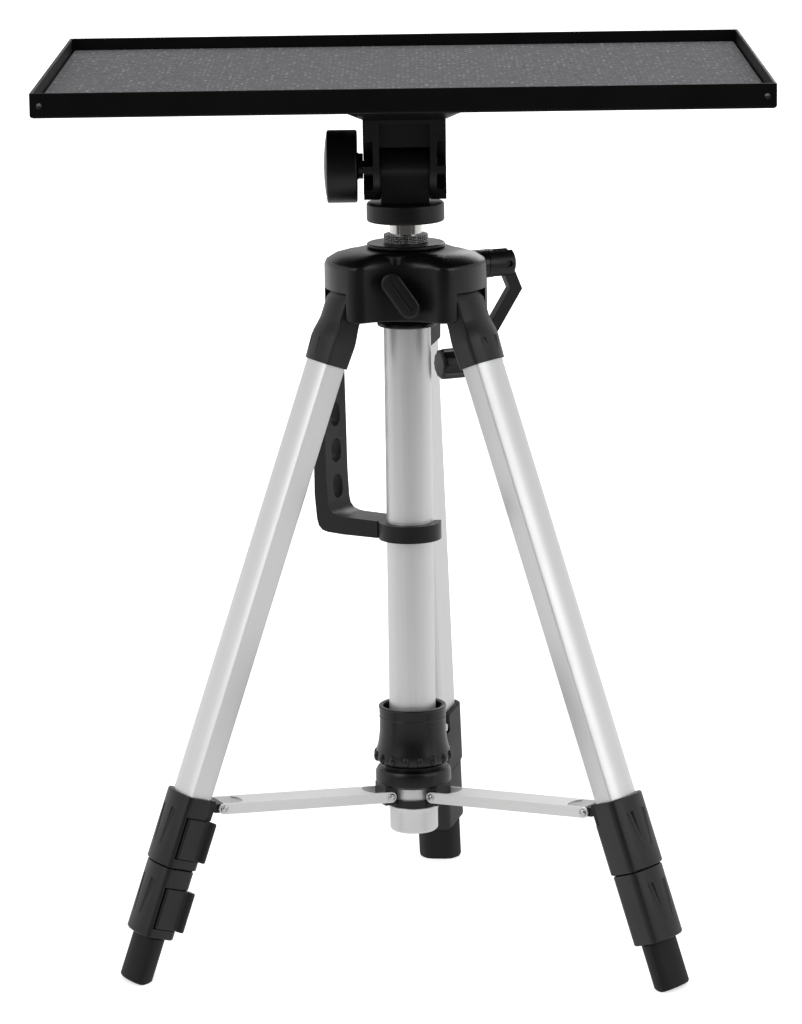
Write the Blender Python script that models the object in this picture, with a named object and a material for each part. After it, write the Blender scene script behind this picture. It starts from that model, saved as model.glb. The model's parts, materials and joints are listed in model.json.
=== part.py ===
"""Projector tripod stand: a tray on a tilt head, a sliding column, a crown and three telescopic legs.

Sizes are in millimetres. piece() scales each finished mesh to metres.
The column axis is vertical, azimuth 0 is +X and azimuth 90 is +Y, away from the front.
"""

import math

import bmesh
import bpy
from mathutils import Matrix, Vector

MM = 0.001
GAP = 0.3

TRAY_WIDTH = 400.0
TRAY_DEPTH = 300.0
TRAY_TOP = 517.9
TRAY_RIM = 13.6
TRAY_SHEET = 1.6
MAT_TOP = 511.0

TILT_AXIS_Z = 457.6
HEAD_HALF_WIDTH = 23.5
DRUM_HALF_WIDTH = 13.9
DRUM_RADIUS = 11.5

INNER_COLUMN_RADIUS = 9.3
OUTER_COLUMN_RADIUS = 13.5
OUTER_COLUMN_WALL = 1.3
COLUMN_FOOT_Z = 67.0
COLUMN_SETBACK = 17.0

CROWN_RADIUS = 47.0
CROWN_WAIST = 30.0
CROWN_BOTTOM = 372.4
CROWN_SHOULDER = 402.5
CROWN_TOP = 411.0
LOBE_HALF_ANGLE = 30.0
SLOT_HALF_WIDTH = 14.4
LOCK_KNOB_AZIMUTH = 265.0
LOCK_KNOB_Z = 388.5

CRANK_AZIMUTH = 25.0
CRANK_Z = 397.5
CRANK_HINGE_R = 62.0
CRANK_RADIUS = 8.3
CRANK_HOUSING_END = 49.5

HANDLE_AZIMUTH = 145.0
HANDLE_BOTTOM = 241.0
HANDLE_HALF_WIDTH = 10.75

LEGS = {"left": 205.0, "right": 325.0, "rear": 85.0}
LEG_LEAN = math.radians(20.0)
HINGE_R = 36.4
HINGE_Z = 388.0
SOCKET_END = 43.0
UPPER_LOCK = (301.0, 343.0)
LOWER_LOCK = (343.4, 385.0)
LEG_END = 413.0
TUBE_WALL = 1.1
MIDDLE_INSET = 2.0
LOWER_INSET = 4.0
TUBE_ENGAGED = 10.0

HUB_R = 18.3
HUB_Z = 90.0
ARM_LEG_R = 123.6
ARM_LEG_Z = 96.5
ARM_HALF_WIDTH = 9.0
ARM_SHEET = 1.4
ARM_HALF_HEIGHT = 3.2
TAB_HALF_WIDTH = 7.0

BLACK_PLASTIC = ((0.022, 0.023, 0.025), 0.42, 0.0)
BLACK_STEEL = ((0.012, 0.012, 0.011), 0.38, 0.2)
GREY_MAT = ((0.13, 0.125, 0.13), 0.9, 0.0)
ALUMINIUM = ((0.62, 0.63, 0.64), 0.34, 0.9)
CHROME = ((0.75, 0.75, 0.75), 0.14, 1.0)
STEEL = ((0.35, 0.35, 0.36), 0.35, 1.0)


def at(outline, height):
    """Stand a flat outline at a height."""
    return [(x, y, height) for x, y in outline]


def rounded(corners, steps=3):
    """Soften corners given as (x, y, distance cut back from the corner)."""
    points = []
    for i, (x, y, cut) in enumerate(corners):
        here = Vector((x, y))
        if not cut:
            points.append((x, y))
            continue
        before = Vector(corners[i - 1][:2]) - here
        after = Vector(corners[(i + 1) % len(corners)][:2]) - here
        start = here + before.normalized() * cut
        end = here + after.normalized() * cut
        for k in range(steps + 1):
            t = k / steps
            bend = start * (1 - t) ** 2 + here * (2 * t * (1 - t)) + end * t**2
            points.append((bend.x, bend.y))
    return points


def inset(outline, depth):
    """Move a counter-clockwise outline inwards by depth, or outwards if it is negative."""
    moved = []
    for i, point in enumerate(outline):
        here = Vector(point)
        a = (here - Vector(outline[i - 1])).normalized()
        b = (Vector(outline[(i + 1) % len(outline)]) - here).normalized()
        normal_a = Vector((-a.y, a.x))
        normal_b = Vector((-b.y, b.x))
        step = (normal_a + normal_b) * (depth / (1 + normal_a.dot(normal_b)))
        moved.append((here.x + step.x, here.y + step.y))
    return moved


def rectangle(width, depth, cut, steps=3):
    """A centred rectangle with softened corners."""
    x = width / 2
    y = depth / 2
    return rounded([(-x, -y, cut), (x, -y, cut), (x, y, cut), (-x, y, cut)], steps)


def circle(radius, steps):
    """A centred circle."""
    turns = [math.tau * k / steps for k in range(steps)]
    return [(radius * math.cos(t), radius * math.sin(t)) for t in turns]


def star(outer, inner, teeth):
    """A toothed circle, two points a tooth."""
    points = []
    for k in range(2 * teeth):
        t = math.pi * k / teeth
        radius = outer if k % 2 == 0 else inner
        points.append((radius * math.cos(t), radius * math.sin(t)))
    return points


def ribbon(path, half, steps=6):
    """The outline of a bar that follows a path, with round ends."""
    path = [Vector(p) for p in path]
    left = []
    right = []
    for i, here in enumerate(path):
        a = (here - path[i - 1]).normalized() if i else (path[1] - here).normalized()
        b = (path[i + 1] - here).normalized() if i + 1 < len(path) else a
        side_a = Vector((-a.y, a.x))
        side_b = Vector((-b.y, b.x))
        step = (side_a + side_b) * (half / (1 + side_a.dot(side_b)))
        left.append(here + step)
        right.append(here - step)
    outline = list(right)
    for centre, start in ((path[-1], right[-1]), (path[0], left[0])):
        if centre is path[0]:
            outline += reversed(left)
        for k in range(1, steps):
            turn = Matrix.Rotation(math.pi * k / steps, 2)
            outline.append(centre + turn @ (start - centre))
    return [(p.x, p.y) for p in outline]


def loft(rings, capped=True):
    """Join rings of equally many points, in order, into one closed body."""
    bm = bmesh.new()
    rows = [[bm.verts.new(p) for p in ring] for ring in rings]
    pairs = list(zip(rows, rows[1:]))
    if capped:
        bm.faces.new(rows[0])
        bm.faces.new(rows[-1])
    else:
        pairs.append((rows[-1], rows[0]))
    for low, high in pairs:
        for i in range(len(low)):
            j = (i + 1) % len(low)
            bm.faces.new((low[i], low[j], high[j], high[i]))
    bmesh.ops.recalc_face_normals(bm, faces=bm.faces)
    return bm


def prism(outline, low, high):
    """A straight bar between two heights."""
    return loft([at(outline, low), at(outline, high)])


def pipe(outer, inner, low, high):
    """A straight hollow bar between two heights."""
    return loft([at(outer, low), at(outer, high), at(inner, high), at(inner, low)], capped=False)


def turned(profile, steps=32):
    """Spin (radius, height) points round Z: a closed loop, or a chain that ends on the axis."""
    bm = bmesh.new()
    verts = [bm.verts.new((r, 0, z)) for r, z in profile]
    loop = verts if profile[0][0] == 0 else verts + verts[:1]
    edges = [bm.edges.new(pair) for pair in zip(loop, loop[1:])]
    around = {"cent": (0, 0, 0), "axis": (0, 0, 1), "angle": math.tau, "steps": steps}
    bmesh.ops.spin(bm, geom=verts + edges, use_merge=True, **around)
    bmesh.ops.remove_doubles(bm, verts=bm.verts, dist=0.001)
    bmesh.ops.recalc_face_normals(bm, faces=bm.faces)
    return bm


def block(x, y, z):
    """A box from three (low, high) pairs."""
    bm = bmesh.new()
    bmesh.ops.create_cube(bm, size=1)
    size = (x[1] - x[0], y[1] - y[0], z[1] - z[0])
    middle = ((x[0] + x[1]) / 2, (y[0] + y[1]) / 2, (z[0] + z[1]) / 2)
    bmesh.ops.scale(bm, verts=bm.verts, vec=size)
    bmesh.ops.translate(bm, verts=bm.verts, vec=middle)
    return bm


def turn_mesh(bm, matrix):
    """Turn or move a mesh and hand it back."""
    bmesh.ops.transform(bm, matrix=matrix, verts=bm.verts)
    return bm


def along(bm, axis):
    """Turn a mesh made along Z so that it lies along X or Y."""
    turns = {"X": Matrix.Rotation(math.pi / 2, 4, "Y"), "Y": Matrix.Rotation(-math.pi / 2, 4, "X")}
    return turn_mesh(bm, turns[axis])


def upright(bm):
    """Turn a mesh made in XY with its thickness along Z so that it stands in XZ, thick along Y."""
    return turn_mesh(bm, Matrix.Rotation(math.pi / 2, 4, "X"))


def side_on(bm):
    """Turn a mesh made in XY with its thickness along Z so that it stands in YZ, thick along X."""
    return turn_mesh(bm, Matrix(((0, 0, 1, 0), (1, 0, 0, 0), (0, 1, 0, 0), (0, 0, 0, 1))))


def facing(bm, azimuth):
    """Turn a mesh about the column, from +X to an azimuth."""
    return turn_mesh(bm, Matrix.Rotation(math.radians(azimuth), 4, "Z"))


def rod(radius, start, end, steps=16):
    """A round bar between two points."""
    a = Vector(start)
    b = Vector(end)
    bm = prism(circle(radius, steps), 0, (b - a).length)
    turn = (b - a).to_track_quat("Z", "Y").to_matrix().to_4x4()
    return turn_mesh(bm, Matrix.Translation(a) @ turn)


def joined(meshes):
    """Put separate bodies into one mesh."""
    whole = bmesh.new()
    for bm in meshes:
        spare = bpy.data.meshes.new("spare")
        bm.to_mesh(spare)
        bm.free()
        whole.from_mesh(spare)
        bpy.data.meshes.remove(spare)
    return whole


def hold(name, bm, parent, origin=(0, 0, 0)):
    """Make an object from a mesh in its parent's millimetres, with its origin at a point."""
    bmesh.ops.translate(bm, verts=bm.verts, vec=-Vector(origin))
    bmesh.ops.scale(bm, verts=bm.verts, vec=(MM, MM, MM))
    mesh = bpy.data.meshes.new(name)
    bm.to_mesh(mesh)
    bm.free()
    obj = bpy.data.objects.new(name, mesh)
    bpy.context.collection.objects.link(obj)
    obj.parent = parent
    obj.location = Vector(origin) * MM
    return obj


def piece(name, bm, finish, parent, origin=(0, 0, 0), smooth=35.0):
    """Make a named piece with a material of its own."""
    obj = hold(name, bm, parent, origin)
    colour, roughness, metallic = finish
    material = bpy.data.materials.new(name + "_finish")
    material.use_nodes = True
    shader = material.node_tree.nodes["Principled BSDF"]
    shader.inputs["Base Color"].default_value = (*colour, 1.0)
    shader.inputs["Roughness"].default_value = roughness
    shader.inputs["Metallic"].default_value = metallic
    material.diffuse_color = (*colour, 1.0)
    obj.data.materials.append(material)
    obj.data.shade_smooth()
    obj.data.set_sharp_from_angle(angle=math.radians(smooth))
    return obj


def combine(obj, bm, operation, origin=(0, 0, 0)):
    """Cut a mesh out of a piece, or join it on, with a hidden helper object."""
    count = len(obj.modifiers)
    helper = hold(f"{obj.name}_{operation.lower()}_{count}", bm, obj.parent, origin)
    helper.hide_render = True
    helper.display_type = "WIRE"
    modifier = obj.modifiers.new(f"{operation.lower()}_{count}", "BOOLEAN")
    modifier.operation = operation
    modifier.solver = "EXACT"
    modifier.object = helper


def cut(obj, bm):
    """Cut a mesh out of a piece."""
    combine(obj, bm, "DIFFERENCE")


def add(obj, bm):
    """Join a mesh on to a piece."""
    combine(obj, bm, "UNION")


def frame(name, place, turn=(0, 0, 0), parent=None):
    """An empty that carries pieces."""
    empty = bpy.data.objects.new(name, None)
    bpy.context.collection.objects.link(empty)
    empty.parent = parent
    empty.location = Vector(place) * MM
    empty.rotation_euler = turn
    return empty


def leg_outline(half_width, outer, shoulder, inner, inner_half, corner=2.0, depth=0.0):
    """The wedge section of a leg piece, x outwards with a bowed outer face, moved inwards by depth."""
    bow = outer - shoulder
    radius = (half_width**2 + bow**2) / (2 * bow)
    corners = [(inner, -inner_half), (shoulder, -half_width)]
    for share in (-0.6, -0.3, 0.0, 0.3, 0.6):
        side = share * half_width
        corners.append((outer - radius + math.sqrt(radius**2 - side**2), side))
    corners += [(shoulder, half_width), (inner, inner_half)]
    softness = [corner, corner, 0, 0, 0, 0, 0, corner, corner]
    return rounded([(x, y, soft) for (x, y), soft in zip(inset(corners, depth), softness)], 2)


def tube_outline(depth):
    """The outer leg tube's section, moved inwards by depth. Its corners get sharper inwards."""
    return leg_outline(13.65, 10.0, 6.0, -10.0, 6.0, max(0.3, 2.0 - 0.4 * depth), depth)


TUBE = tube_outline(0)
MIDDLE_TUBE = tube_outline(MIDDLE_INSET)
LOWER_TUBE = tube_outline(LOWER_INSET)
UPPER_LOCK_SIDE = ((8.0, 17.0), (-13.0, 8.5))
LOWER_LOCK_SIDE = ((7.5, 16.0), (-12.25, 8.0))
FOOT = leg_outline(14.5, 7.75, 3.0, -7.75, 8.0, 4.0)


def build_tray(stand):
    """The folded tray, its mat, and the plate and screw under it."""
    bottom = TRAY_TOP - TRAY_RIM
    floor = bottom + TRAY_SHEET

    def level(depth, height, corner=0.0):
        return at(rectangle(TRAY_WIDTH - 2 * depth, TRAY_DEPTH - 2 * depth, corner), height)

    rings = [level(1.6, bottom), level(0.5, bottom + 0.5), level(0.0, bottom + 1.6), level(0.0, TRAY_TOP)]
    rings += [level(TRAY_SHEET, TRAY_TOP), level(TRAY_SHEET, floor)]
    pan = piece("tray_pan", loft(rings), BLACK_STEEL, stand)
    hole_x = TRAY_WIDTH / 2 - 5.1
    hole_z = TRAY_TOP - TRAY_RIM / 2
    front = -TRAY_DEPTH / 2
    holes = [rod(1.5, (x, front - 2, hole_z), (x, front + 2.4, hole_z), 12) for x in (-hole_x, hole_x)]
    cut(pan, joined(holes))

    mat_low = floor + GAP
    rings = [level(2.6, mat_low, 2.0), level(2.6, MAT_TOP - 0.5, 2.0), level(3.1, MAT_TOP, 1.6)]
    piece("tray_mat", loft(rings), GREY_MAT, stand)

    plate_top = bottom - GAP
    plate_low = 486.3
    wide = rectangle(67, 62, 5)
    rings = [at(rectangle(48, 46, 4), plate_low), at(wide, 491), at(wide, plate_top)]
    plate = piece("tray_mount_plate", loft(rings), BLACK_PLASTIC, stand)
    head = floor - 0.1
    shank_end = 489.5
    screw = [(0, head), (5.6, head), (3.1, bottom), (3.0, shank_end + 1), (2.2, shank_end), (0, shank_end)]
    piece("tray_screw", turned(screw, 16), STEEL, stand)
    cut(pan, turned([(0, floor + 0.5), (6.6, floor + 0.5), (3.5, bottom - 0.2), (0, bottom - 0.2)], 16))
    cut(plate, rod(3.4, (0, 0, shank_end - 0.5), (0, 0, plate_top + 1)))


def yoke_pockets():
    """The hollows between the radial ribs, in the outer side of both cheeks. Only the top two are closed."""
    inner = 7.5
    rib = 6.0
    floor = HEAD_HALF_WIDTH - 5.5
    pockets = []
    for k in range(8):
        outer = 16.8 if k in (1, 2) else 30.0
        low = math.radians(45 * k + rib)
        high = math.radians(45 * (k + 1) - rib)
        middle = (low + high) / 2
        turns = [(inner, high), (inner, low), (outer, low), (outer, middle), (outer, high)]
        outline = [(r * math.cos(t), TILT_AXIS_Z + r * math.sin(t)) for r, t in turns]
        pockets.append(side_on(prism(outline, floor, HEAD_HALF_WIDTH + 2)))
        pockets.append(side_on(prism(outline, -HEAD_HALF_WIDTH - 2, -floor)))
    return joined(pockets)


def build_head(stand):
    """The tilt head: the base with its drum, the yoke that carries the tray, the bolt and the knob."""
    base_low = 426.0
    base_high = 437.0
    disc = [(0, base_low), (21.6, base_low), (22.25, base_low + 0.7)]
    disc += [(22.25, base_high - 0.9), (21.5, base_high), (0, base_high)]
    base = piece("head_base", turned(disc), BLACK_PLASTIC, stand, (0, 0, base_low))
    block_half = 12.0
    neck = [(-block_half, base_low + 6), (block_half, base_low + 6)]
    for k in range(13):
        t = math.radians(-30 + 20 * k)
        neck.append((DRUM_RADIUS * math.cos(t), TILT_AXIS_Z + DRUM_RADIUS * math.sin(t)))
    add(base, side_on(prism(neck, -DRUM_HALF_WIDTH, DRUM_HALF_WIDTH)))
    socket = INNER_COLUMN_RADIUS + GAP
    bore = [(0, base_low - 2), (socket, base_low - 2), (socket, 433), (5.3, 433), (5.3, 444), (0, 444)]
    cut(base, turned(bore, 24))
    bolt_hole = [(-HEAD_HALF_WIDTH - 5, 0, TILT_AXIS_Z), (HEAD_HALF_WIDTH + 5, 0, TILT_AXIS_Z)]
    cut(base, rod(3.4, *bolt_hole))

    axis = (0, 0, TILT_AXIS_Z)
    yoke_top = 486.0
    round_end = 19.5
    side = [(21.0, yoke_top), (-21.0, yoke_top)]
    for k in range(13):
        t = math.radians(180 + 15 * k)
        side.append((round_end * math.cos(t), TILT_AXIS_Z + round_end * math.sin(t)))
    cheeks = side_on(prism(side, -HEAD_HALF_WIDTH, HEAD_HALF_WIDTH))
    yoke = piece("tilt_yoke", cheeks, BLACK_PLASTIC, stand, axis)
    inner = DRUM_HALF_WIDTH + 0.5
    panel_low = 470.0
    panel_half = 16.5
    cut(yoke, block((-inner, inner), (-30, 30), (430, panel_low)))
    cut(yoke, block((-inner, inner), (-30, -panel_half), (panel_low - 5, yoke_top - 2)))
    cut(yoke, block((-inner, inner), (panel_half, 30), (panel_low - 5, yoke_top - 2)))
    cut(yoke, yoke_pockets())
    cut(yoke, rod(3.4, *bolt_hole))
    cut(yoke, rod(6.0, (18.0, 0, TILT_AXIS_Z), (HEAD_HALF_WIDTH + 2, 0, TILT_AXIS_Z)))

    hexagon = []
    for k in range(12):
        t = math.tau * k / 12
        across = 5.0 if k % 2 else 5.0 / math.cos(math.pi / 6)
        hexagon.append((across * math.cos(t), across * math.sin(t)))
    shank = circle(3.0, 12)
    rings = [at(shank, -33), at(shank, 18.3), at(hexagon, 18.3), at(hexagon, 22.4)]
    bolt = along(loft(rings), "X")
    piece("tilt_bolt", turn_mesh(bolt, Matrix.Translation(axis)), STEEL, stand, axis)

    stem = HEAD_HALF_WIDTH + GAP
    rim = 20.8
    knob = [(0, 34.5), (3.3, 34.5), (3.3, stem), (7.3, stem), (7.3, 26.3), (8.1, 27.1)]
    knob += [(rim - 0.7, 27.1), (rim, 27.8)]
    knob += [(rim, 43.8), (rim - 0.5, 44.3), (14, 45.3), (7, 45.9), (0, 46.1)]
    body = turn_mesh(turned(knob, 32), Matrix.Rotation(-math.pi / 2, 4, "Y"))
    piece("tilt_knob", turn_mesh(body, Matrix.Translation(axis)), BLACK_PLASTIC, stand, axis)


def build_column(stand):
    """The bright inner column that slides, and the fixed outer tube with its cup and rings."""
    inner_radius = INNER_COLUMN_RADIUS - 1.4
    low = 108.0
    high = 432.5
    tube = pipe(circle(INNER_COLUMN_RADIUS, 32), circle(inner_radius, 32), low, high)
    piece("inner_column", tube, CHROME, stand)
    plug = inner_radius - GAP
    stud = [(0, 405), (plug, 405), (plug, 430), (5, 430), (5, 443.5), (0, 443.5)]
    piece("head_stud", turned(stud, 20), STEEL, stand)
    bore = OUTER_COLUMN_RADIUS - OUTER_COLUMN_WALL
    slide = bore - GAP
    bush = [(0, low - 10), (slide, low - 10), (slide, low - GAP), (plug, low - GAP), (plug, 125), (0, 125)]
    piece("column_guide_bush", turned(bush, 28), BLACK_PLASTIC, stand)

    tube_low = COLUMN_FOOT_Z + 3
    tube = pipe(circle(OUTER_COLUMN_RADIUS, 40), circle(bore, 40), tube_low, CROWN_TOP - 0.5)
    outer = piece("outer_column_tube", tube, ALUMINIUM, stand)
    cut(outer, facing(rod(3.2, (8, 0, LOCK_KNOB_Z), (18, 0, LOCK_KNOB_Z)), LOCK_KNOB_AZIMUTH))
    hug = OUTER_COLUMN_RADIUS + GAP
    z = COLUMN_FOOT_Z
    cup = [(0, z), (12.8, z), (14, z + 1.2), (14, z + 12), (15, z + 15), (15, z + 15.6)]
    cup += [(hug, z + 15.6), (hug, z + 2.7), (0, z + 2.7)]
    piece("column_foot_cup", turned(cup), ALUMINIUM, stand)

    ring_bore = circle(INNER_COLUMN_RADIUS + GAP, 60)
    knurl = pipe(star(12.75, 12.2, 30), ring_bore, CROWN_TOP + 3, CROWN_TOP + 7.6)
    piece("neck_ring", knurl, STEEL, stand)
    z = CROWN_TOP + GAP
    slide_bore = INNER_COLUMN_RADIUS + GAP
    collar = [(slide_bore, z - 13.3), (slide, z - 13.3), (slide, z), (22, z), (22.5, z + 0.5)]
    collar += [(22.5, z + 1.8), (21.9, z + 2.4), (slide_bore, z + 2.4)]
    piece("crown_top_collar", turned(collar), BLACK_PLASTIC, stand)
    z = CROWN_BOTTOM - 6.8
    bush_top = CROWN_BOTTOM + 10.6
    bush = [(hug, z), (16.5, z), (17.2, z + 0.7), (17.2, z + 2.4), (15.5, z + 4.2), (15.5, bush_top)]
    bush.append((hug, bush_top))
    piece("crown_lower_bush", turned(bush), BLACK_PLASTIC, stand)


def crown_outline():
    """The three-lobed plan of the crown, with a hollow side between each two lobes."""
    half = math.radians(LOBE_HALF_ANGLE)
    open_half = math.radians(60) - half
    chord = CROWN_RADIUS * math.sin(open_half)
    sag = CROWN_RADIUS * math.cos(open_half) - CROWN_WAIST
    radius = (chord**2 + sag**2) / (2 * sag)
    sweep = math.asin(chord / radius)
    corners = []
    for azimuth in LEGS.values():
        centre = math.radians(azimuth)
        for share, soft in ((-1, 5), (-0.65, 0), (-0.32, 0), (0, 0), (0.32, 0), (0.65, 0), (1, 5)):
            t = centre + share * half
            corners.append((CROWN_RADIUS * math.cos(t), CROWN_RADIUS * math.sin(t), soft))
        middle = centre + math.radians(60)
        hollow = Vector((math.cos(middle), math.sin(middle))) * (CROWN_WAIST + radius)
        for share in (0.66, 0.33, 0.0, -0.33, -0.66):
            t = middle + math.pi + share * sweep
            corners.append((hollow.x + radius * math.cos(t), hollow.y + radius * math.sin(t), 0))
    return rounded(corners, 2)


def build_crown(stand):
    """The three-lobed crown, its leg pins and the wing knob that clamps the column."""
    plan = crown_outline()
    rim = 24.0
    rise = CROWN_TOP - CROWN_SHOULDER
    rings = [at(inset(plan, 0.8), CROWN_BOTTOM), at(plan, CROWN_BOTTOM + 0.9), at(plan, CROWN_SHOULDER)]
    for degrees in (20, 45, 70, 90):
        t = math.radians(degrees)
        ring = []
        for x, y in plan:
            far = math.hypot(x, y)
            share = (rim + (far - rim) * math.cos(t)) / far
            ring.append((x * share, y * share, CROWN_SHOULDER + rise * math.sin(t)))
        rings.append(ring)
    crown = piece("crown_shell", loft(rings), BLACK_PLASTIC, stand)

    skirt = 42.9
    slot_inner = 23.0
    slot_roof = 399.0
    skirt_low = 389.0
    slot = [(slot_inner, 340), (62, 340), (62, skirt_low), (skirt, skirt_low)]
    slot += [(skirt, slot_roof), (slot_inner, slot_roof)]
    slots = []
    pin_holes = []
    for label, azimuth in LEGS.items():
        slots.append(facing(upright(prism(slot, -SLOT_HALF_WIDTH, SLOT_HALF_WIDTH)), azimuth))
        pin = facing(rod(2.0, (HINGE_R, -17.4, HINGE_Z), (HINGE_R, 17.4, HINGE_Z), 12), azimuth)
        piece(f"leg_hinge_pin_{label}", pin, STEEL, stand)
        pin_holes.append(facing(rod(2.3, (HINGE_R, -17.7, HINGE_Z), (HINGE_R, 17.7, HINGE_Z), 12), azimuth))
    pad = facing(block((26, 32), (-11.3, 11.3), (373.6, 395)), HANDLE_AZIMUTH)
    add(crown, pad)
    cut(crown, joined(slots))
    cut(crown, joined(pin_holes))

    hug = OUTER_COLUMN_RADIUS + GAP
    bush_seat = CROWN_BOTTOM + 10.6 + GAP
    bore = [(0, 350), (15.8, 350), (15.8, bush_seat), (hug, bush_seat), (hug, 430), (0, 430)]
    cut(crown, turned(bore))
    cut(crown, facing(rod(2.9, (11, 0, LOCK_KNOB_Z), (40, 0, LOCK_KNOB_Z)), LOCK_KNOB_AZIMUTH))
    housing = rod(CRANK_RADIUS, (26, 0, CRANK_Z), (CRANK_HOUSING_END, 0, CRANK_Z), 28)
    add(crown, facing(housing, CRANK_AZIMUTH))
    cut(crown, facing(rod(2.8, (18, 0, CRANK_Z), (60, 0, CRANK_Z)), CRANK_AZIMUTH))

    paddle_half = 8.5
    paddle = ribbon([(-paddle_half, 0), (paddle_half, 0)], 6.0, 8)
    tilt = Matrix.Rotation(math.radians(35), 4, "Z")
    back = 36.0
    rings = [at(inset(paddle, 0.6), back), at(paddle, back + 0.6)]
    rings += [at(paddle, back + 3.6), at(inset(paddle, 2.2), back + 5)]
    knob = along(turn_mesh(loft(rings), tilt), "X")
    shift = Matrix.Translation((0, 0, LOCK_KNOB_Z))
    axis_point = Matrix.Rotation(math.radians(LOCK_KNOB_AZIMUTH), 3, "Z") @ Vector((back, 0, LOCK_KNOB_Z))
    whole = facing(turn_mesh(knob, shift), LOCK_KNOB_AZIMUTH)
    wing = piece("column_lock_knob", whole, BLACK_PLASTIC, stand, axis_point)
    stem = along(turned([(0, 9.8), (2.6, 9.8), (2.6, 31.5), (4.2, 31.5), (4.2, 37), (0, 37)], 16), "X")
    add(wing, facing(turn_mesh(stem, shift), LOCK_KNOB_AZIMUTH))


def build_crank(stand):
    """The winding crank, folded down behind the right leg."""
    side = frame("crank_side", (0, 0, 0), (0, 0, math.radians(CRANK_AZIMUTH)), stand)
    shift = Matrix.Translation((0, 0, CRANK_Z))
    head_low = CRANK_HOUSING_END + GAP
    head_end = 66.5
    shaft = [(0, 20), (2.5, 20), (2.5, head_low), (CRANK_RADIUS, head_low), (CRANK_RADIUS, head_end - 1)]
    shaft += [(CRANK_RADIUS - 1, head_end), (0, head_end)]
    head = piece("crank_head", turn_mesh(along(turned(shaft, 28), "X"), shift), BLACK_PLASTIC, side)
    cut(head, block((53.8, 80), (-3.4, 3.4), (CRANK_Z - 20, CRANK_Z + 20)))
    cut(head, rod(1.8, (CRANK_HINGE_R, -20, CRANK_Z), (CRANK_HINGE_R, 20, CRANK_Z), 12))

    hinge = (CRANK_HINGE_R, 0, CRANK_Z)
    knob_r = 41.0
    knob_z = 341.0
    bar = ribbon([(CRANK_HINGE_R, CRANK_Z), (68.5, 382), (knob_r, knob_z)], 3.5)
    arm = piece("crank_arm", upright(prism(bar, -3.0, 3.0)), BLACK_PLASTIC, side, hinge)
    add(arm, rod(1.5, (CRANK_HINGE_R, -6.8, CRANK_Z), (CRANK_HINGE_R, 6.8, CRANK_Z), 12))
    add(arm, rod(2.0, (knob_r, 0, knob_z), (22, 0, knob_z), 12))
    rings = [at(star(6.6, 6.2, 12), 19.8), at(star(8.5, 7.8, 12), 20.8), at(star(9.0, 8.2, 12), 22.6)]
    rings += [at(star(9.0, 8.2, 12), 36.0), at(star(8.3, 7.7, 12), 37.2)]
    grip = turn_mesh(along(loft(rings), "X"), Matrix.Translation((0, 0, knob_z)))
    knob = piece("crank_knob", grip, BLACK_PLASTIC, side, (37.2, 0, knob_z))
    cut(knob, rod(2.3, (21.6, 0, knob_z), (39, 0, knob_z), 24))


def build_handle(stand):
    """The carry handle: a flange on the crown, a grip with finger slots, and a clip round the column."""
    side = frame("handle_side", (0, 0, 0), (0, 0, math.radians(HANDLE_AZIMUTH)), stand)
    low = HANDLE_BOTTOM
    high = HANDLE_BOTTOM + 10
    root = 32.0 + GAP
    corners = [(root, 394, 0), (36.0, 394, 0), (36.0, 385, 1.5), (47.5, 384, 5)]
    corners += [(60.3, 346, 8), (60.2, 262, 0), (58.0, low, 7)]
    corners += [(40, low - 0.5, 0), (15.5, low, 0), (15.5, high, 0), (40, high, 0)]
    corners += [(50.2, high + 1, 7), (51.6, 275, 0), (52.8, 342, 6), (42.5, 373.5, 5), (root, 373.5, 0)]
    width = HANDLE_HALF_WIDTH
    handle = piece("carry_handle", upright(prism(rounded(corners), -width, width)), BLACK_PLASTIC, side)
    inner = OUTER_COLUMN_RADIUS + GAP
    outer = 18.2
    turns = [math.radians(-22 + 8.17 * k) for k in range(31)]
    clip = [(outer * math.cos(t), outer * math.sin(t)) for t in turns]
    clip += [(inner * math.cos(t), inner * math.sin(t)) for t in reversed(turns)]
    add(handle, prism(clip, low + 0.05, high - 0.05))
    slots = []
    for k in range(5):
        z = 266.4 + 21.2 * k
        slot = ribbon([(0, z - 2.5), (0, z + 2.5)], 4.6, 5)
        slots.append(side_on(prism(slot, 46, 66)))
    cut(handle, joined(slots))


def lock_outline(side, outer, corner=3.0):
    """A lock's section, from the two ends of its sloping side."""
    (shoulder, half_width), (inner, inner_half) = side
    return leg_outline(half_width, outer, shoulder, inner, inner_half, corner)


def lock_body(outline, top, bottom, upper_bore, lower_bore):
    """A hollow lock: a wide bore for the tube above it, a narrow one for the tube that slides."""
    soft = 0.8
    step = top + TUBE_ENGAGED + GAP
    rings = [at(inset(outline, soft), -top), at(outline, -top - soft), at(outline, soft - bottom)]
    rings += [at(inset(outline, soft), -bottom), at(lower_bore, -bottom), at(lower_bore, -step)]
    rings += [at(upper_bore, -step), at(upper_bore, -top)]
    return loft(rings, capped=False)


def side_frame(side):
    """A point and two directions on a lock's sloping side: along it inwards, and out of it."""
    start = Vector(side[0])
    run = (Vector(side[1]) - start).normalized()
    out = Vector((run.y, -run.x))
    return start, run, out


def side_points(side, places):
    """Points given as (distance along the sloping side, distance out of it)."""
    start, run, out = side_frame(side)
    return [tuple(start + run * u + out * n) for u, n in places]


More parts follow.
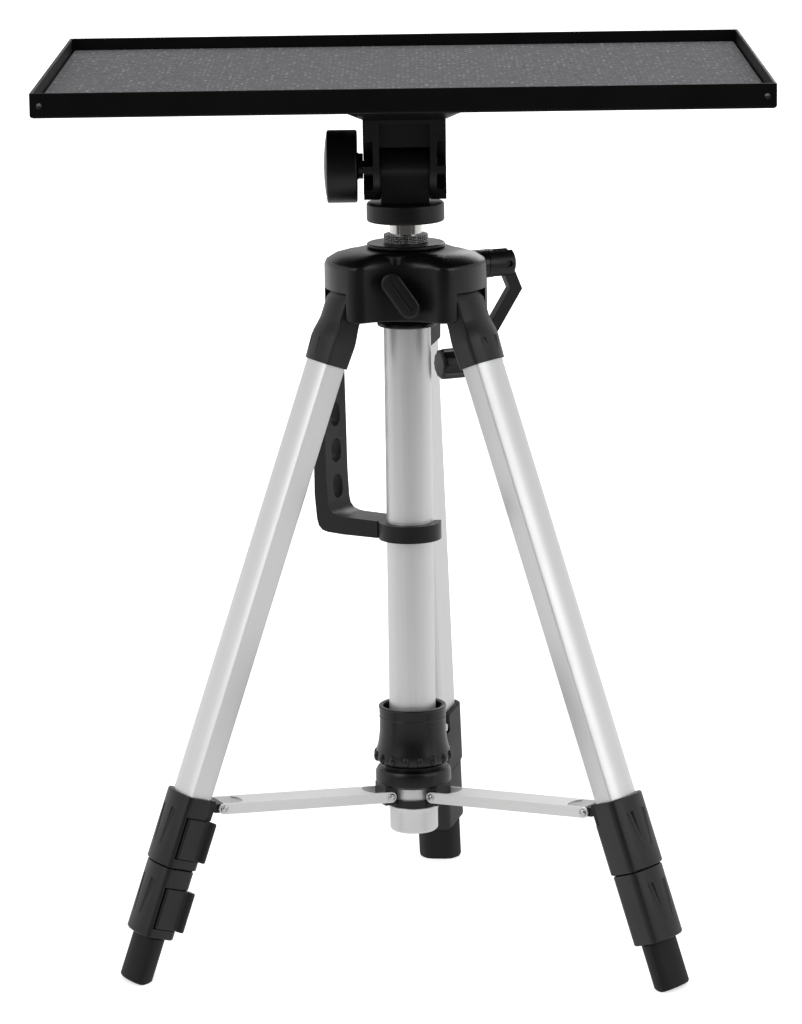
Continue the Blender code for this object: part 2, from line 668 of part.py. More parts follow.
def build_lever(name, side, top, hinge):
    """A flip lever that lies in a pocket of its lock, with a lip at its inner end."""
    low = -top - 24.0
    plate = [(3.0, -2.4), (3.0, 0.3), (4.0, 0.9), (19.4, 0.9)]
    plate += [(20.6, 3.6), (23.2, 3.8), (23.9, 2.6), (23.6, -2.4)]
    pivot = side_points(side, [(4.2, -0.9)])[0]
    body = prism(side_points(side, plate), low, -top)
    piece(name, body, BLACK_PLASTIC, hinge, (pivot[0], pivot[1], low / 2 - top / 2))


def pocket(side, top):
    """The hollow in a lock that takes its lever."""
    room = 0.4
    floor = -3.1
    edge = [(1.6, floor), (1.6, 8.0), (30.0, 8.0), (30.0, floor)]
    return prism(side_points(side, edge), -top - 24.0 - room, -top + room)


def build_leg(label, azimuth, stand):
    """One telescopic leg, hung on its pin in the crown. Along the leg, local Z is minus the distance."""
    turn = math.radians(azimuth)
    place = (HINGE_R * math.cos(turn), HINGE_R * math.sin(turn), HINGE_Z)
    hinge = frame(f"leg_hinge_{label}", place, (0, -LEG_LEAN, turn), stand)

    tongue = leg_outline(14.0, 6.2, 4.4, -8.5, 8.2, 1.5)
    neck = leg_outline(14.0, 9.5, 5.7, -9.5, 8.2, 1.5)
    wide = tube_outline(-1.7)
    end = tube_outline(-1.2)
    bore = tube_outline(-GAP)
    top = leg_outline(13.4, 3.6, 2.3, -5.0, 7.6, 1.0)
    rings = [at(top, 7.6), at(tongue, 3.0), at(tongue, -1.0), at(neck, -6.5), at(neck, -17.5)]
    for share, down in ((0.12, 19.5), (0.5, 23.0), (0.88, 26.5), (1.0, 29.5)):
        mixed = [Vector(a).lerp(Vector(b), share) for a, b in zip(neck, wide)]
        rings.append(at(mixed, -down))
    rings += [at(end, -SOCKET_END), at(bore, -SOCKET_END), at(bore, -30.0)]
    socket = piece(f"leg_socket_{label}", loft(rings), BLACK_PLASTIC, hinge)
    cut(socket, rod(2.3, (0, -20, 0), (0, 20, 0), 12))

    inner = tube_outline(TUBE_WALL)
    tube = pipe(TUBE, inner, -UPPER_LOCK[0] - TUBE_ENGAGED, -30.0 - GAP)
    piece(f"leg_upper_tube_{label}", tube, ALUMINIUM, hinge)
    build_upper_lock(label, hinge)

    tube = pipe(MIDDLE_TUBE, tube_outline(MIDDLE_INSET + TUBE_WALL), -LOWER_LOCK[0] - TUBE_ENGAGED, -60)
    piece(f"leg_middle_tube_{label}", tube, ALUMINIUM, hinge)
    outline = lock_outline(LOWER_LOCK_SIDE, 12.25)
    bores = (tube_outline(MIDDLE_INSET - GAP), tube_outline(LOWER_INSET - GAP))
    body = lock_body(outline, *LOWER_LOCK, *bores)
    lock = piece(f"lower_lock_body_{label}", body, BLACK_PLASTIC, hinge)
    lever_top = LOWER_LOCK[0] + 11.6
    cut(lock, pocket(LOWER_LOCK_SIDE, lever_top))
    build_lever(f"lower_lock_lever_{label}", LOWER_LOCK_SIDE, lever_top, hinge)

    tube_end = LEG_END - 9
    tube = pipe(LOWER_TUBE, tube_outline(LOWER_INSET + TUBE_WALL), -tube_end, -80)
    piece(f"leg_lower_tube_{label}", tube, ALUMINIUM, hinge)
    foot_top = LOWER_LOCK[1] + GAP
    seat = tube_outline(LOWER_INSET - GAP)
    rings = [at(inset(FOOT, 0.8), -LEG_END), at(FOOT, -LEG_END + 0.8), at(FOOT, -foot_top)]
    rings += [at(seat, -foot_top), at(seat, -tube_end - GAP)]
    foot = loft(rings)
    floor_normal = (math.sin(LEG_LEAN), 0, math.cos(LEG_LEAN))
    everything = foot.verts[:] + foot.edges[:] + foot.faces[:]
    floor_point = (0, 0, -HINGE_Z / math.cos(LEG_LEAN))
    plane = {"plane_co": floor_point, "plane_no": floor_normal, "clear_inner": True}
    bmesh.ops.bisect_plane(foot, geom=everything, dist=0.001, **plane)
    rim = [e for e in foot.edges if e.is_boundary]
    bmesh.ops.contextual_create(foot, geom=rim)
    bmesh.ops.recalc_face_normals(foot, faces=foot.faces)
    piece(f"foot_{label}", foot, BLACK_PLASTIC, hinge)


def build_upper_lock(label, hinge):
    """The upper lock, with the tab that the spreader arm straddles and two slots for its cheeks."""
    outline = lock_outline(UPPER_LOCK_SIDE, 13.0)
    bores = (tube_outline(-GAP), tube_outline(MIDDLE_INSET - GAP))
    body = lock_body(outline, *UPPER_LOCK, *bores)
    lock = piece(f"upper_lock_body_{label}", body, BLACK_PLASTIC, hinge)
    run = ARM_LEG_R - HINGE_R
    drop = HINGE_Z - ARM_LEG_Z
    pivot_along = run * math.sin(LEG_LEAN) + drop * math.cos(LEG_LEAN)
    pivot_out = run * math.cos(LEG_LEAN) - drop * math.sin(LEG_LEAN)
    tab = ribbon([(pivot_out, -pivot_along), (-13.4, -pivot_along - 1.2)], 2.6)
    add(lock, upright(prism(tab, -TAB_HALF_WIDTH, TAB_HALF_WIDTH)))
    slots = []
    for low, high in ((-10.6, -TAB_HALF_WIDTH - GAP), (TAB_HALF_WIDTH + GAP, 10.6)):
        slots.append(block((-25, -6.7), (low, high), (-pivot_along - 9.2, -pivot_along + 15)))
    cut(lock, joined(slots))
    lever_top = UPPER_LOCK[0] + 12
    cut(lock, pocket(UPPER_LOCK_SIDE, lever_top))
    build_lever(f"upper_lock_lever_{label}", UPPER_LOCK_SIDE, lever_top, hinge)


def build_arm(label, azimuth, stand):
    """One spreader arm, a channel with its web on top, rivet heads at its leg end and a pin at the hub."""
    turn = math.radians(azimuth)
    run = ARM_LEG_R - HUB_R
    climb = ARM_LEG_Z - HUB_Z
    length = math.hypot(run, climb)
    place = (HUB_R * math.cos(turn), HUB_R * math.sin(turn), HUB_Z)
    pivot = frame(f"arm_pivot_{label}", place, (0, -math.atan2(climb, run), turn), stand)
    inner = ARM_HALF_WIDTH - ARM_SHEET
    web_low = ARM_HALF_HEIGHT - 1.2
    strip = ribbon([(0, 0), (length, 0)], ARM_HALF_HEIGHT)
    bar = upright(prism(strip, -ARM_HALF_WIDTH, ARM_HALF_WIDTH))
    arm = piece(f"spreader_arm_{label}", bar, ALUMINIUM, pivot)
    cut(arm, block((-10, length + 10), (-inner, inner), (-10, web_low)))
    scoop = 10.0
    half_turn = math.asin(inner / scoop)
    bites = []
    for k in range(9):
        t = half_turn * (k / 4 - 1)
        bites.append((4 + scoop * math.cos(t), scoop * math.sin(t)))
    near = [(-8, -inner)] + bites + [(-8, inner)]
    far = [(length - x, -y) for x, y in near]
    window = (ARM_HALF_HEIGHT - 2, ARM_HALF_HEIGHT + 2)
    cut(arm, joined([prism(near, *window), prism(far, *window)]))
    cut(arm, rod(1.6, (0, -12, 0), (0, 12, 0), 12))

    head_low = ARM_HALF_WIDTH + GAP
    head_high = head_low + 0.8
    dome = [(0, ARM_HALF_WIDTH - 0.5), (2, ARM_HALF_WIDTH - 0.5), (2, head_high - 0.6)]
    dome += [(1.5, head_high - 0.3), (0, head_high - 0.3)]
    heads = []
    for flip in (0, math.pi):
        head = turn_mesh(along(turned(dome, 12), "Y"), Matrix.Rotation(flip, 4, "X"))
        heads.append(turn_mesh(head, Matrix.Translation((length, 0, 0))))
    add(arm, joined(heads))
    pin = [(0, -head_high), (1.5, -head_high), (2, 0.3 - head_high), (2, -head_low), (1.3, -head_low)]
    pin += [(1.3, head_low), (2, head_low)]
    pin += [(2, head_high - 0.3), (1.5, head_high), (0, head_high)]
    piece(f"arm_pin_{label}", along(turned(pin, 12), "Y"), CHROME, pivot)


def build_spreader(stand):
    """The hub that slides on the outer tube, its twist collar and the three arms."""
    hug = OUTER_COLUMN_RADIUS + GAP
    z = COLUMN_FOOT_Z + 15.9
    ring = [(hug, 95.5), (20.5, 95.5), (22, 97), (22, 103), (20.8, 105), (16, 105), (16, 116), (hug, 116)]
    hub = piece("spreader_hub", turned(ring), BLACK_PLASTIC, stand)
    add(hub, turned([(hug, z), (15.5, z), (15.5, z + 4.3), (hug, z + 4.3)]))
    tabs = []
    drills = []
    for azimuth in LEGS.values():
        tab = block((14.4, 21.4), (-TAB_HALF_WIDTH, TAB_HALF_WIDTH), (z + 2, 97))
        tabs.append(facing(tab, azimuth))
        drills.append(facing(rod(1.6, (HUB_R, -12, HUB_Z), (HUB_R, 12, HUB_Z), 12), azimuth))
    add(hub, joined(tabs))
    cut(hub, joined(drills))
    cup = [(16.3, 107.3), (18.5, 107.3), (21.2, 109.5), (22, 112), (21.4, 115.5), (20.2, 120), (19.4, 126)]
    cup += [(19.2, 134), (19.5, 141.2), (19.0, 142), (17.3, 142), (17, 141), (17, 119), (16.3, 118)]
    piece("spreader_collar", turned(cup), BLACK_PLASTIC, stand)
    for label, azimuth in LEGS.items():
        build_arm(label, azimuth, stand)


def main():
    """Clear the scene and build the whole stand."""
    for old in list(bpy.data.objects):
        bpy.data.objects.remove(old, do_unlink=True)
    stand = frame("column_axis", (0, -COLUMN_SETBACK, 0))
    build_tray(stand)
    build_head(stand)
    build_column(stand)
    build_crown(stand)
    build_crank(stand)
    build_handle(stand)
    for label, azimuth in LEGS.items():
        build_leg(label, azimuth, stand)
    build_spreader(stand)


main()
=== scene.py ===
import json
import math

import bpy
from mathutils import Matrix, Vector

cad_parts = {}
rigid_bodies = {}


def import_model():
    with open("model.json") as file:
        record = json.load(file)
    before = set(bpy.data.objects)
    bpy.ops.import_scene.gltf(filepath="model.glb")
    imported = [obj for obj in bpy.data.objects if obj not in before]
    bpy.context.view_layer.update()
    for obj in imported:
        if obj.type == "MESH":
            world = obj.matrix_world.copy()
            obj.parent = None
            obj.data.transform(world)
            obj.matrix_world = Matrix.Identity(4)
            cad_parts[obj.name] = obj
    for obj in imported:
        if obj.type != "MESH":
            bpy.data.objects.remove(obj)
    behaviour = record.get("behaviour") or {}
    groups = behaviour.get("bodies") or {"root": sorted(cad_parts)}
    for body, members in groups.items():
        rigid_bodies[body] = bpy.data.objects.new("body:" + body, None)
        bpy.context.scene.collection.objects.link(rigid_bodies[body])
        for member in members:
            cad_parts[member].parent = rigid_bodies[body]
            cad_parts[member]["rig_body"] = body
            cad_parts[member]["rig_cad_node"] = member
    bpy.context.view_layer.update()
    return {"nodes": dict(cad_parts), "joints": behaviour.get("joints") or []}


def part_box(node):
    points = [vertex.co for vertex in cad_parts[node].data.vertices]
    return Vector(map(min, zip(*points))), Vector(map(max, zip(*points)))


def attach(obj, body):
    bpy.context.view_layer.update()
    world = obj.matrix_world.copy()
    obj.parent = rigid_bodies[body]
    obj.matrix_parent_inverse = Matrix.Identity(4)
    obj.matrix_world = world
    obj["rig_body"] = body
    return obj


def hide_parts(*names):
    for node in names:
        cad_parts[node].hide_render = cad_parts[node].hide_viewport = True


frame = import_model()

# The view. The stand is seen from the front and a little above, from so far away that the two
# sides of the tray stay nearly level. The camera leans a touch, as it does in the photograph.
focal_length_pixels = 4556
photograph_long_side = 1024
camera_height = 0.7834
camera_distance = 2.5803
camera_right = 0.0081
pitch_down = 0.2015
turn_left = 0.0051
lean_right = 0.0146
tube_low, tube_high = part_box("outer_column_tube")
column = (tube_low + tube_high) / 2
bpy.ops.object.camera_add(location=(camera_right, column.y - camera_distance, camera_height))
camera = bpy.context.object
camera.name = "studio_camera"
camera.data.sensor_width = 36
camera.data.lens = focal_length_pixels * camera.data.sensor_width / photograph_long_side
camera.data.clip_end = 60
view_turn = Matrix.Rotation(turn_left, 4, "Z") @ Matrix.Rotation(math.pi / 2 - pitch_down, 4, "X")
view_turn = view_turn @ Matrix.Rotation(-lean_right, 4, "Z")
camera.matrix_world = Matrix.Translation(camera.location) @ view_turn
bpy.context.scene.camera = camera
bpy.context.scene.view_settings.view_transform = "Standard"


# The studio. A pale floor runs back far past the frame, under a white sky. Shiny parts mirror a
# sky that is dark behind the camera and a floor that is dark in front of the stand, as black cards
# would make them. Four soft lamps, two in front, one overhead and one behind, shape the metal.
def add_node(tree, kind, inputs=None, **settings):
    """Add a shader node, with values or other nodes' outputs for its inputs."""
    made = tree.nodes.new(kind)
    for key, value in settings.items():
        setattr(made, key, value)
    for key, value in (inputs or {}).items():
        if isinstance(value, bpy.types.NodeSocket):
            tree.links.new(value, made.inputs[key])
        else:
            made.inputs[key].default_value = value
    return made


def reckon(tree, operation, *terms):
    """Add one step of arithmetic and give its result."""
    return add_node(tree, "ShaderNodeMath", dict(enumerate(terms)), operation=operation).outputs[0]


def stretch(tree, value, low, high, new_low=0.0, new_high=1.0):
    """Add a step that moves a value from one range to another, and give its result."""
    ends = {"From Min": low, "From Max": high, "To Min": new_low, "To Max": new_high}
    return add_node(tree, "ShaderNodeMapRange", {"Value": value, **ends}).outputs[0]


def between(tree, amount, first, second):
    """Add a mix of two numbers and give its result."""
    return add_node(tree, "ShaderNodeMix", {0: amount, 2: first, 3: second}).outputs[0]


sky_light = 0.64
behind_camera = 0.04
beside_camera = 0.70
softbox_starts, softbox_full = -0.95, -0.2
world = bpy.data.worlds.new("white_studio")
world.use_nodes = True
bpy.context.scene.world = world
sky = world.node_tree
sky.nodes.clear()
rays = add_node(sky, "ShaderNodeLightPath")
way = add_node(sky, "ShaderNodeTexCoord")
parts = add_node(sky, "ShaderNodeSeparateXYZ", {0: way.outputs["Generated"]})
softbox = stretch(sky, parts.outputs["Y"], softbox_starts, softbox_full, behind_camera, beside_camera)
seen = reckon(sky, "MAXIMUM", rays.outputs["Is Camera Ray"], rays.outputs["Is Transmission Ray"])
shine = between(sky, rays.outputs["Is Glossy Ray"], sky_light, softbox)
strength = between(sky, seen, shine, 1.0)
glow = add_node(sky, "ShaderNodeBackground", {"Color": (1, 1, 1, 1), "Strength": strength})
add_node(sky, "ShaderNodeOutputWorld", {"Surface": glow.outputs[0]})

lamps = {
    "key": ((-2.2, -1.7, 1.7), 1.9, 20),
    "fill": ((2.3, -1.5, 1.2), 1.6, 14),
    "top": ((0.1, -0.3, 2.6), 1.6, 9),
    "behind": ((0.9, 2.4, 1.6), 1.4, 14),
}
lamps_aim = Vector((0, column.y, 0.28))
for label, (place, size, watts) in lamps.items():
    bpy.ops.object.light_add(type="AREA", location=place)
    lamp = bpy.context.object
    lamp.name = label + "_softbox"
    lamp.data.size = size
    lamp.data.energy = watts
    aim = lamps_aim - Vector(place)
    lamp.rotation_euler = aim.to_track_quat("-Z", "Y").to_euler()

floor_size = 60
paper_white = (0.82, 0.82, 0.82, 1)
glow_starts, glow_full = 0.5, 2.2
near_glow, far_glow = 0.62, 1.0
bands_start, bands_end = -2.4, 1.6
front_grey = 0.08
band_greys = ((0.07, 0.20), (0.13, 0.03), (0.26, 0.12), (0.42, 0.66))
bpy.ops.mesh.primitive_plane_add(size=floor_size, location=(0, 0, 0))
floor = bpy.context.object
floor.name = "studio_floor"
paper = bpy.data.materials.new("white_paper")
paper.use_nodes = True
sheet = paper.node_tree
sheet.nodes.clear()
rays = add_node(sheet, "ShaderNodeLightPath")
matt = add_node(sheet, "ShaderNodeBsdfDiffuse", {"Color": paper_white})
spot = add_node(sheet, "ShaderNodeTexCoord")
far = add_node(sheet, "ShaderNodeVectorMath", {0: spot.outputs["Object"]}, operation="LENGTH")
fade = stretch(sheet, far.outputs["Value"], glow_starts, glow_full, near_glow, far_glow)
lift = reckon(sheet, "MULTIPLY", rays.outputs["Is Camera Ray"], fade)
white = add_node(sheet, "ShaderNodeEmission", {"Color": (1, 1, 1, 1), "Strength": lift})
both = add_node(sheet, "ShaderNodeAddShader", {0: matt.outputs[0], 1: white.outputs[0]})
deep = add_node(sheet, "ShaderNodeSeparateXYZ", {0: spot.outputs["Object"]})
from_front = stretch(sheet, deep.outputs["Y"], bands_start, bands_end)
bands = add_node(sheet, "ShaderNodeValToRGB", {0: from_front})
bands.color_ramp.elements[0].color = (front_grey, front_grey, front_grey, 1)
for step, grey in band_greys:
    stop = bands.color_ramp.elements.new(step)
    stop.color = (grey, grey, grey, 1)
mirrored = add_node(sheet, "ShaderNodeEmission", {"Color": bands.outputs[0], "Strength": 1.0})
paper_look = add_node(sheet, "ShaderNodeMixShader",
                      {0: rays.outputs["Is Glossy Ray"], 1: both.outputs[0], 2: mirrored.outputs[0]})
add_node(sheet, "ShaderNodeOutputMaterial", {"Surface": paper_look.outputs[0]})
floor.data.materials.append(paper)


# The column tube and the silver cup on its foot. The tube is drawn aluminium, blasted and
# anodised satin, so it carries faint draw lines and a soft sheen. The cup is pressed on.
def new_material(name):
    """A material with its shader's tree, the shader itself and the place on the piece."""
    material = bpy.data.materials.new(name)
    material.use_nodes = True
    tree = material.node_tree
    place = add_node(tree, "ShaderNodeTexCoord").outputs["Object"]
    return material, tree, tree.nodes["Principled BSDF"], place


def noise(tree, place, scale, detail):
    """Add noise over the piece and give its result."""
    made = add_node(tree, "ShaderNodeTexNoise", {"Vector": place, "Scale": scale, "Detail": detail})
    return made.outputs[0]


def shade(colour, factor):
    """The same colour, lighter or darker."""
    return tuple(c * factor for c in colour[:3]) + (1,)


def blend(tree, amount, first, second):
    """Add a mix of two colours and give its result."""
    made = add_node(tree, "ShaderNodeMix", {0: amount, 6: first, 7: second}, data_type="RGBA")
    return made.outputs[2]


def emboss(tree, height, strength, depth=0.0002):
    """Turn a height into fine relief on the piece."""
    relief = add_node(tree, "ShaderNodeBump",
                      {"Height": height, "Strength": strength, "Distance": depth})
    tree.links.new(relief.outputs[0], tree.nodes["Principled BSDF"].inputs["Normal"])


draw_lines = (900, 900, 9)


def satin_aluminium(name, turn, colour=(0.82, 0.82, 0.825, 1)):
    """Anodised tube, with draw lines that run along the Z direction of a turned frame."""
    material, tree, shader, place = new_material(name)
    line = add_node(tree, "ShaderNodeMapping", {"Vector": place, "Rotation": turn},
                    vector_type="TEXTURE")
    long = add_node(tree, "ShaderNodeMapping", {"Vector": line.outputs[0], "Scale": draw_lines})
    draw = noise(tree, long.outputs[0], scale=1.0, detail=3.0)
    blast = noise(tree, place, scale=2600.0, detail=2.0)
    cloud = noise(tree, place, scale=22.0, detail=2.0)
    gloss = stretch(tree, cloud, 0.0, 1.0, new_low=0.34, new_high=0.44)
    tint = blend(tree, draw, colour, shade(colour, 0.93))
    tree.links.new(tint, shader.inputs["Base Color"])
    tree.links.new(gloss, shader.inputs["Roughness"])
    emboss(tree, between(tree, 0.5, draw, blast), strength=0.06)
    shader.inputs["Metallic"].default_value = 0.62
    return material


def select_only(*things):
    """Select these objects alone, with the first one active."""
    bpy.ops.object.select_all(action="DESELECT")
    for thing in things:
        thing.select_set(True)
    bpy.context.view_layer.objects.active = things[0]


same_point = 0.00001
same_plane = math.radians(0.4)


def shaped_from(node, name):
    """A copy of a solid with its triangles merged into whole faces, ready to be worked on."""
    select_only(frame["nodes"][node])
    bpy.ops.object.duplicate()
    made = bpy.context.object
    made.name = name
    made.data.name = name
    made.parent = None
    del made["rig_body"]
    del made["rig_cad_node"]
    made.data.materials.clear()
    bpy.ops.object.mode_set(mode="EDIT")
    bpy.ops.mesh.select_all(action="SELECT")
    bpy.ops.mesh.remove_doubles(threshold=same_point)
    bpy.ops.mesh.customdata_custom_splitnormals_clear()
    bpy.ops.mesh.dissolve_limited(angle_limit=same_plane)
    bpy.ops.object.mode_set(mode="OBJECT")
    return made


def soften(made, width, segments=2, angle=34):
    """Round off the sharp edges, as a mould or a tumbler leaves them, and shade the rest smooth."""
    select_only(made)
    bevel = made.modifiers.new("soft_edges", "BEVEL")
    bevel.width = width
    bevel.segments = segments
    bevel.limit_method = "ANGLE"
    bevel.angle_limit = math.radians(angle)
    bpy.ops.object.modifier_apply(modifier=bevel.name)
    bpy.ops.object.shade_smooth_by_angle(angle=math.radians(angle))
    flat = made.modifiers.new("flat_faces", "WEIGHTED_NORMAL")
    flat.keep_sharp = True
    flat.mode = "FACE_AREA_WITH_ANGLE"
    bpy.ops.object.modifier_apply(modifier=flat.name)


def stand_in(made, node, body, material):
    """Dress a finished piece, put it in its solid's place and let it move with that solid's body."""
    made.data.materials.append(material)
    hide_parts(node)
    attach(made, body)


def dress(node, kind, body, material, slot, edge, **how):
    """Take a solid as it is, soften its edges by a width and let the result stand in for it."""
    made = shaped_from(node, f"{node}_{kind}")
    soften(made, edge, **how)
    stand_in(made, node, body, material)


upright_tube = satin_aluminium("satin_column_aluminium", (0, 0, 0))
dress("outer_column_tube", "satin", "crown", upright_tube, "aluminium", 0.0003)
dress("column_foot_cup", "satin", "crown", upright_tube, "aluminium", 0.0004)


# The crown with its collar and lower bush. It is one black moulding with three lobes that hold
# the legs, glossy enough to catch the lamps on its dome, with a fine even grain. A small round
# boss stands on its front.
def moulded_black(name, colour, roughness, grain=3200.0, specular=0.4):
    """Moulded plastic, with a fine grain and slow changes of gloss."""
    material, tree, shader, place = new_material(name)
    fine = noise(tree, place, scale=grain, detail=2.0)
    broad = noise(tree, place, scale=38.0, detail=3.0)
    gloss = stretch(tree, broad, 0.3, 0.7, new_low=roughness - 0.05, new_high=roughness + 0.06)
    tint = blend(tree, broad, colour, shade(colour, 1.35))
    tree.links.new(tint, shader.inputs["Base Color"])
    tree.links.new(gloss, shader.inputs["Roughness"])
    emboss(tree, fine, strength=0.09)
    shader.inputs["Specular IOR Level"].default_value = specular
    return material


glossy_black = moulded_black("crown_black", (0.0035, 0.0037, 0.004, 1), 0.30, specular=0.45)
dress("crown_shell", "moulding", "crown", glossy_black, "black_plastic", 0.0007, angle=48)
dress("crown_top_collar", "moulding", "crown", glossy_black, "black_plastic", 0.0003)
dress("crown_lower_bush", "moulding", "crown", glossy_black, "black_plastic", 0.0004)


def around(azimuth, out, height):
    """A place given by its direction round the column, its distance from the axis and its height."""
    turn = math.radians(azimuth)
    return Vector((column.x + out * math.cos(turn), column.y + out * math.sin(turn), height))


def settle(name, body, material, width=0.0):
    """Name the piece just modelled, keep its place in its mesh, dress it and let it ride a body."""
    made = bpy.context.object
    made.name = name
    made.data.name = name
    bpy.ops.object.transform_apply(location=True, rotation=True, scale=True)
    if width:
        soften(made, width)
    made.data.materials.append(material)
    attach(made, body)
    return made


bpy.ops.mesh.primitive_cone_add(vertices=40, radius1=0.0028, radius2=0.0066, depth=0.009,
                                location=around(azimuth=257, out=0.0262, height=0.4053))
settle("crown_front_boss", "crown", glossy_black, 0.0004)


# The steel of the screws, pins and bolts. They are zinc plated, turned or headed, and nearly all
# hidden: only the two screws of the handle show.
def plated_steel(name, colour, roughness):
    """Plated steel with a faint mottle."""
    material, tree, shader, place = new_material(name)
    mottle = noise(tree, place, scale=700.0, detail=3.0)
    gloss = stretch(tree, mottle, 0.0, 1.0, new_low=roughness - 0.04, new_high=roughness + 0.06)
    tint = blend(tree, mottle, colour, shade(colour, 0.85))
    tree.links.new(tint, shader.inputs["Base Color"])
    tree.links.new(gloss, shader.inputs["Roughness"])
    shader.inputs["Metallic"].default_value = 1.0
    return material


zinc = plated_steel("zinc_plate", (0.48, 0.48, 0.47, 1), 0.28)
legs = ("left", "right", "rear")
pins = [(f"leg_hinge_pin_{leg}", "crown") for leg in legs]
pins += [("head_stud", "column"), ("tilt_bolt", "tray"), ("tray_screw", "tray")]
for node, body in pins:
    dress(node, "plated", body, zinc, "steel", 0.0002)


# The wing knob that clamps the column, and the winding crank folded down behind the right leg.
# Both are moulded in the same black, a little duller than the crown where hands rub them. A low
# ridge runs along the wing.
def joint(name):
    """A joint of the stand, with its place and its axis."""
    return next(j for j in frame["joints"] if j["name"] == name)


satin_black = moulded_black("grip_black", (0.0042, 0.0044, 0.0047, 1), 0.38, specular=0.4)
dress("column_lock_knob", "moulding", "column_clamp", satin_black, "black_plastic", 0.0006)
dress("crank_head", "moulding", "crown", satin_black, "black_plastic", 0.0004)
dress("crank_arm", "moulding", "crank", satin_black, "black_plastic", 0.0005)
dress("crank_knob", "moulding", "crank_grip", satin_black, "black_plastic", 0.0004)

ridge_lean = math.radians(35)
ridge_out = 0.0046
ridge_size = (0.0024, 0.0012, 0.0215)
clamp = joint("column_clamp_turn")
out = Vector(clamp["axis"]).normalized()
sideways = Vector((0, 0, 1)).cross(out)
ridge_way = Vector((0, 0, -math.cos(ridge_lean))) + sideways * math.sin(ridge_lean)
ridge_turn = Matrix((out, ridge_way.cross(out), ridge_way)).transposed().to_4x4()
bpy.ops.mesh.primitive_cube_add(size=1)
ridge = bpy.context.object
ridge.matrix_world = Matrix.Translation(Vector(clamp["pos_m"]) + out * ridge_out) @ ridge_turn
ridge.scale = ridge_size
settle("wing_knob_ridge", "column_clamp", satin_black, 0.0004)


# The carry handle. It is a curved strap with five finger slots, screwed to the crown at the top
# and snapped round the column with a clip at the bottom.
dress("carry_handle", "moulding", "crown", satin_black, "black_plastic", 0.0006)
screw_azimuth = 145
screw_out = 0.0361
screw_flatness = 0.45
for height in (0.3795, 0.3895):
    screw_place = around(screw_azimuth, screw_out, height)
    bpy.ops.mesh.primitive_uv_sphere_add(segments=24, ring_count=12, radius=0.0026, location=screw_place)
    bpy.ops.transform.resize(value=(screw_flatness, 1, 1), orient_type="LOCAL")
    bpy.ops.transform.rotate(value=-math.radians(screw_azimuth), orient_axis="Z",
                             center_override=screw_place)
    settle(f"handle_screw_{int(height * 1e4)}", "crown", zinc)


# The leg sockets, locks, levers and feet. These are tougher nylon mouldings with a duller, evenly
# grained face. Each socket and lock has two tapered grip flutes down its broad outer side.
def leg_place(leg):
    """The leg's own frame: X out of its broad face, Y across it and Z up the leg, at its pin."""
    hinge = joint(f"leg_fold_{leg}")
    across = Vector(hinge["axis"])
    up = -Vector(joint(f"leg_{leg}_upper_slide")["axis"])
    out = across.cross(up)
    turn = Matrix((out, across, up)).transposed().to_4x4()
    return Matrix.Translation(hinge["pos_m"]) @ turn


flute_tip = 0.0012
flute_lean = math.radians(8)
flute_aside = 0.0056
flute_outside = 0.0006


def flute(made, place, face, middle, length, wide):
    """Press two tapered flutes, side by side, into the broad face of a socket or lock."""
    for side in (-1, 1):
        bpy.ops.mesh.primitive_cone_add(vertices=24, radius1=flute_tip, radius2=wide, depth=length)
        cutter = bpy.context.object
        lean = Matrix.Rotation(side * -flute_lean, 4, "X")
        spot = Matrix.Translation((face + flute_outside, side * flute_aside, -middle))
        cutter.matrix_world = place @ spot @ lean
        groove = made.modifiers.new("flute", "BOOLEAN")
        groove.operation = "DIFFERENCE"
        groove.solver = "EXACT"
        groove.object = cutter
        select_only(made)
        bpy.ops.object.modifier_apply(modifier=groove.name)
        bpy.data.objects.remove(cutter, do_unlink=True)


nylon_black = moulded_black("leg_black", (0.0062, 0.0066, 0.0072, 1), 0.42, grain=2400.0)
rubber_black = moulded_black("foot_rubber", (0.006, 0.006, 0.006, 1), 0.60, grain=1500.0, specular=0.25)
for leg in legs:
    place = leg_place(leg)
    held = (
        (f"leg_socket_{leg}", f"leg_{leg}", 0.0116, 0.0355, 0.012, 0.0023),
        (f"upper_lock_body_{leg}", f"leg_{leg}", 0.013, 0.321, 0.022, 0.0029),
        (f"lower_lock_body_{leg}", f"leg_{leg}_middle", 0.01225, 0.363, 0.022, 0.0028),
    )
    for node, body, face, middle, length, wide in held:
        part = shaped_from(node, node + "_moulding")
        flute(part, place, face, middle, length, wide)
        soften(part, 0.0004, angle=52)
        stand_in(part, node, body, nylon_black)
    for which in ("upper", "lower"):
        dress(f"{which}_lock_lever_{leg}", "moulding", f"leg_{leg}_{which}_lever", nylon_black,
              "black_plastic", 0.0009, segments=3)
    dress(f"foot_{leg}", "moulding", f"leg_{leg}_lower", rubber_black, "black_plastic", 0.0005)


# The leg tubes. Each leg is three wedge-shaped aluminium extrusions, one inside the next, with a
# broad bowed face outwards and two sloping sides.
for leg in legs:
    along_leg = satin_aluminium(f"satin_leg_aluminium_{leg}", leg_place(leg).to_euler())
    tubes = (("upper", f"leg_{leg}"), ("middle", f"leg_{leg}_middle"), ("lower", f"leg_{leg}_lower"))
    for which, body in tubes:
        dress(f"leg_{which}_tube_{leg}", "satin", body, along_leg, "aluminium", 0.0003, angle=52)


